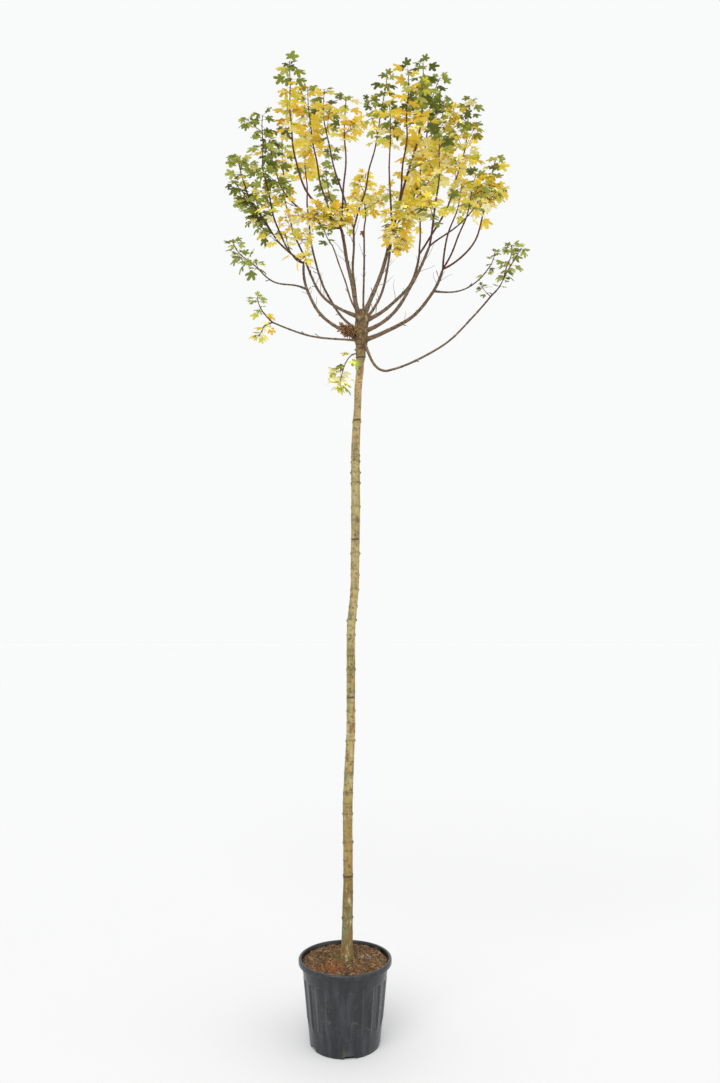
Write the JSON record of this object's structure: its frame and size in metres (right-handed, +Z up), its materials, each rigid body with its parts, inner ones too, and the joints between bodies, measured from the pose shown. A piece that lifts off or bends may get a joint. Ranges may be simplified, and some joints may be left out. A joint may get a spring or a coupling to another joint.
{
  "type": "potted field maple tree",
  "caption": "Young field maple with a clear stem and a grafted round crown of curving boughs in autumn leaf, standing in a ribbed round nursery pot.",
  "frame": {"origin": "centre of the pot's flat underside, on the ground it stands on", "axes": "+Z up along the trunk; +X to the right and +Y to the back as seen from the side the tree was measured from"},
  "size_m": [1.199, 0.8499, 3.9314],
  "materials": {
    "pot_black": "satin moulded plastic",
    "bark_compost": "loose moist bark chips",
    "bark_olive": "smooth young bark with rings",
    "bough_bark": "young brown bark",
    "spur_brown": "rough dry scales",
    "leaf_gold": "matt autumn leaf",
    "leaf_green": "matt green leaf"
  },
  "bodies": {
    "root": {"pot": "pot_black", "soil": "bark_compost", "trunk": "bark_olive", "bough_left_low": "bough_bark", "bough_left_outer": "bough_bark", "bough_left_upper": "bough_bark", "bough_left_rear": "bough_bark", "bough_front_short": "bough_bark", "bough_centre_left": "bough_bark", "bough_rear_left": "bough_bark", "bough_rear": "bough_bark", "bough_centre_right": "bough_bark", "bough_right_rear": "bough_bark", "bough_right_upper": "bough_bark", "bough_right_front": "bough_bark", "bough_right_outer": "bough_bark", "bough_right_drooping": "bough_bark", "bough_right_sweeping": "bough_bark", "bough_left_side": "bough_bark", "bough_right_side": "bough_bark", "spur_cluster": "spur_brown", "foliage_left_low": "leaf_gold", "foliage_left_outer": "leaf_gold", "foliage_left_upper": "leaf_gold", "foliage_left_rear": "leaf_gold", "foliage_front_short": "leaf_green", "foliage_centre_left": "leaf_gold", "foliage_rear_left": "leaf_gold", "foliage_rear": "leaf_green", "foliage_centre_right": "leaf_gold", "foliage_right_rear": "leaf_gold", "foliage_right_upper": "leaf_gold", "foliage_right_front": "leaf_gold", "foliage_right_outer": "leaf_gold", "foliage_right_sweeping": "leaf_green", "foliage_left_side": "leaf_green", "foliage_right_side": "leaf_green", "foliage_trunk_twig": "leaf_green"}
  },
  "joints": []
}
